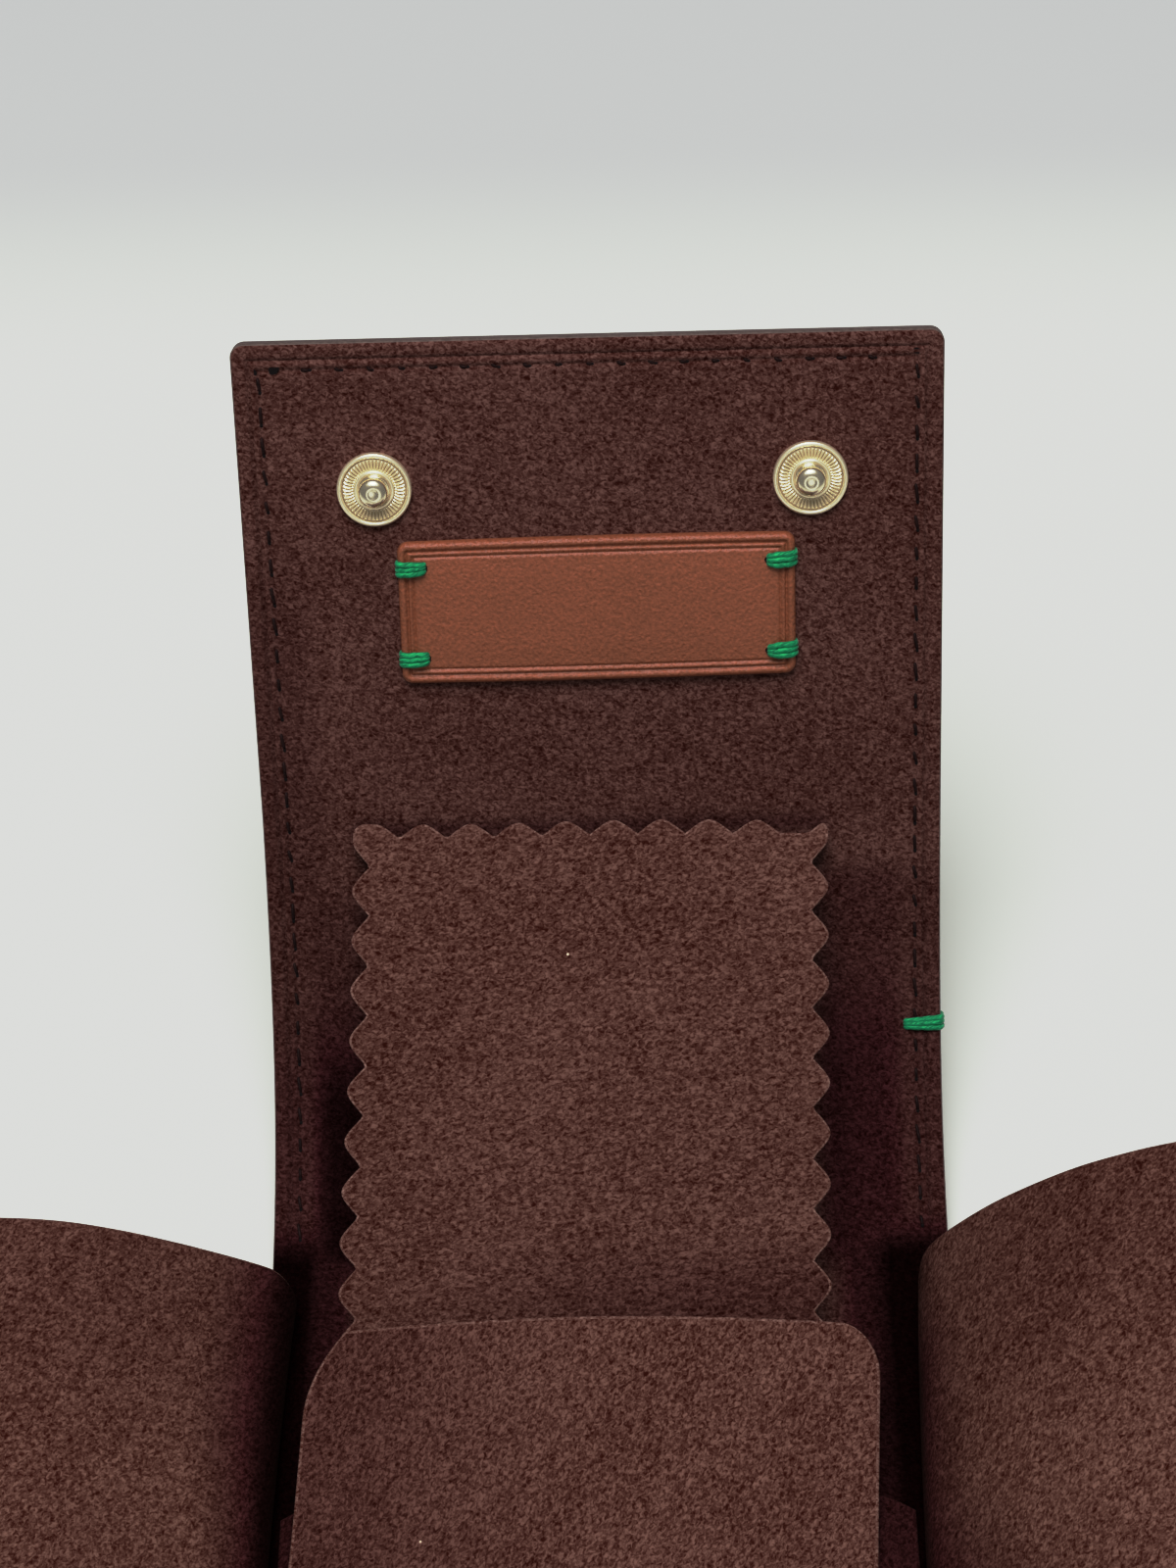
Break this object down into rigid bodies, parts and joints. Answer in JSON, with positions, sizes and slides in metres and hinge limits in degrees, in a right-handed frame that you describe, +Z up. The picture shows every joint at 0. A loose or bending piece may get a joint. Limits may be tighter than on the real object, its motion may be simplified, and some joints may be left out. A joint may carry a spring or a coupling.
{
  "type": "watch travel pouch",
  "caption": "Open watch travel pouch: suede-lined leather strip with folding flap and front, side wings, tongue over a pocket, pinked polishing cloth and press snaps.",
  "frame": {"origin": "middle of the base's underside", "axes": "+X to the pouch's right, +Y from the front panel towards the flap, +Z up out of the base"},
  "size_m": [0.1785, 0.2273, 0.0937],
  "materials": {
    "outer_leather": "smooth leather, satin",
    "lining_suede": "napped suede, matt",
    "inner_suede": "napped suede, matt",
    "polishing_cloth": "napped cloth, matt",
    "label_leather": "fine-grained leather, satin",
    "green_thread": "waxed thread",
    "board": "paper board",
    "snap_metal": "pale plated brass",
    "spring_steel": "bright spring wire"
  },
  "bodies": {
    "base": {"outer_leather_base": "outer_leather", "lining_base": "lining_suede", "stiffener_base": "board", "pocket_panel": "inner_suede", "tongue_root": "inner_suede"},
    "far_bend_1": {"outer_leather_far_bend_1": "outer_leather", "lining_far_bend_1": "lining_suede"},
    "far_bend_2": {"outer_leather_far_bend_2": "outer_leather", "lining_far_bend_2": "lining_suede"},
    "far_bend_3": {"outer_leather_far_bend_3": "outer_leather", "lining_far_bend_3": "lining_suede", "edge_tack": "green_thread"},
    "far_bend_4": {"outer_leather_far_bend_4": "outer_leather", "lining_far_bend_4": "lining_suede"},
    "flap": {"outer_leather_flap": "outer_leather", "lining_flap": "lining_suede", "stiffener_flap": "board", "snap_stud_left": "snap_metal", "snap_stud_right": "snap_metal", "stud_post_left": "snap_metal", "stud_post_right": "snap_metal", "label": "label_leather", "label_tack_lower_left": "green_thread", "label_tack_upper_left": "green_thread", "label_tack_lower_right": "green_thread", "label_tack_upper_right": "green_thread"},
    "near_bend_1": {"outer_leather_near_bend_1": "outer_leather", "lining_near_bend_1": "lining_suede"},
    "near_bend_2": {"outer_leather_near_bend_2": "outer_leather", "lining_near_bend_2": "lining_suede"},
    "near_bend_3": {"outer_leather_near_bend_3": "outer_leather", "lining_near_bend_3": "lining_suede"},
    "near_bend_4": {"outer_leather_near_bend_4": "outer_leather", "lining_near_bend_4": "lining_suede"},
    "front": {"outer_leather_front": "outer_leather", "lining_front": "lining_suede", "stiffener_front": "board", "snap_socket_left": "snap_metal", "snap_socket_right": "snap_metal", "socket_spring_left": "spring_steel", "socket_spring_right": "spring_steel", "socket_post_left": "snap_metal", "socket_post_right": "snap_metal"},
    "left_wall": {"wing_left_wall": "inner_suede"},
    "left_cover": {"wing_left_cover": "inner_suede"},
    "right_wall": {"wing_right_wall": "inner_suede"},
    "right_cover": {"wing_right_cover": "inner_suede"},
    "tongue": {"tongue_face": "inner_suede", "tongue_back": "inner_suede"},
    "cloth": {"polishing_cloth": "polishing_cloth"}
  },
  "joints": [
    {"name": "flap_fold", "type": "hinge", "parent": "base", "child": "far_bend_1", "pos_m": [0, 0.04, 0.003], "axis": [1, 0, 0], "range_deg": [-13, 28.7], "deforming": ["polishing_cloth"]},
    {"name": "far_fold_2", "type": "hinge", "parent": "far_bend_1", "child": "far_bend_2", "pos_m": [0, 0.05358, 0.00639], "axis": [1, 0, 0], "range_deg": [-16.72, 36.91]},
    {"name": "far_fold_3", "type": "hinge", "parent": "far_bend_2", "child": "far_bend_3", "pos_m": [0, 0.06546, 0.01381], "axis": [1, 0, 0], "range_deg": [-13.94, 30.76]},
    {"name": "far_fold_4", "type": "hinge", "parent": "far_bend_3", "child": "far_bend_4", "pos_m": [0, 0.07501, 0.02405], "axis": [1, 0, 0], "range_deg": [-6.51, 14.36]},
    {"name": "far_fold_5", "type": "hinge", "parent": "far_bend_4", "child": "flap", "pos_m": [0, 0.08323, 0.03537], "axis": [1, 0, 0], "range_deg": [-4.65, 10.26]},
    {"name": "front_fold", "type": "hinge", "parent": "base", "child": "near_bend_1", "pos_m": [0, -0.04, 0.003], "axis": [-1, 0, 0], "range_deg": [-3, 32]},
    {"name": "near_fold_2", "type": "hinge", "parent": "near_bend_1", "child": "near_bend_2", "pos_m": [0, -0.04903, 0.00363], "axis": [-1, 0, 0], "range_deg": [-3.01, 32.01]},
    {"name": "near_fold_3", "type": "hinge", "parent": "near_bend_2", "child": "near_bend_3", "pos_m": [0, -0.05799, 0.00489], "axis": [-1, 0, 0], "range_deg": [-3.01, 32.01]},
    {"name": "near_fold_4", "type": "hinge", "parent": "near_bend_3", "child": "near_bend_4", "pos_m": [0, -0.06684, 0.00677], "axis": [-1, 0, 0], "range_deg": [-3.01, 32.01]},
    {"name": "near_fold_5", "type": "hinge", "parent": "near_bend_4", "child": "front", "pos_m": [0, -0.07554, 0.00927], "axis": [-1, 0, 0], "range_deg": [-3.01, 32.01]},
    {"name": "left_wing_fold", "type": "hinge", "parent": "base", "child": "left_wall", "pos_m": [-0.0396, 0, 0.00352], "axis": [0, 1, 0], "range_deg": [-6.5, 45.5]},
    {"name": "left_cover_fold", "type": "hinge", "parent": "left_wall", "child": "left_cover", "pos_m": [-0.05797, 0, 0.01815], "axis": [0, 1, 0], "range_deg": [-18.34, 128.32]},
    {"name": "right_wing_fold", "type": "hinge", "parent": "base", "child": "right_wall", "pos_m": [0.0396, 0, 0.00352], "axis": [0, -1, 0], "range_deg": [-10, 35]},
    {"name": "right_cover_fold", "type": "hinge", "parent": "right_wall", "child": "right_cover", "pos_m": [0.05011, 0, 0.02523], "axis": [0, -1, 0], "range_deg": [-36.01, 126.01]},
    {"name": "tongue_lift", "type": "hinge", "parent": "base", "child": "tongue", "pos_m": [0, -0.03, 0.0073], "axis": [-1, 0, 0], "range_deg": [-75, 0]},
    {"name": "cloth_pull", "type": "slide", "parent": "base", "child": "cloth", "axis": [0, -0.515, -0.8572], "range_m": [-0.1, 0]}
  ],
  "couplings": [
    {"joint": "far_fold_2", "follows": "flap_fold", "ratio": 1.2857},
    {"joint": "far_fold_3", "follows": "flap_fold", "ratio": 1.0714},
    {"joint": "far_fold_4", "follows": "flap_fold", "ratio": 0.5},
    {"joint": "far_fold_5", "follows": "flap_fold", "ratio": 0.35714},
    {"joint": "near_fold_2", "follows": "front_fold", "ratio": 1},
    {"joint": "near_fold_3", "follows": "front_fold", "ratio": 1},
    {"joint": "near_fold_4", "follows": "front_fold", "ratio": 1},
    {"joint": "near_fold_5", "follows": "front_fold", "ratio": 1},
    {"joint": "left_cover_fold", "follows": "left_wing_fold", "ratio": 2.82},
    {"joint": "right_cover_fold", "follows": "right_wing_fold", "ratio": 3.6}
  ]
}
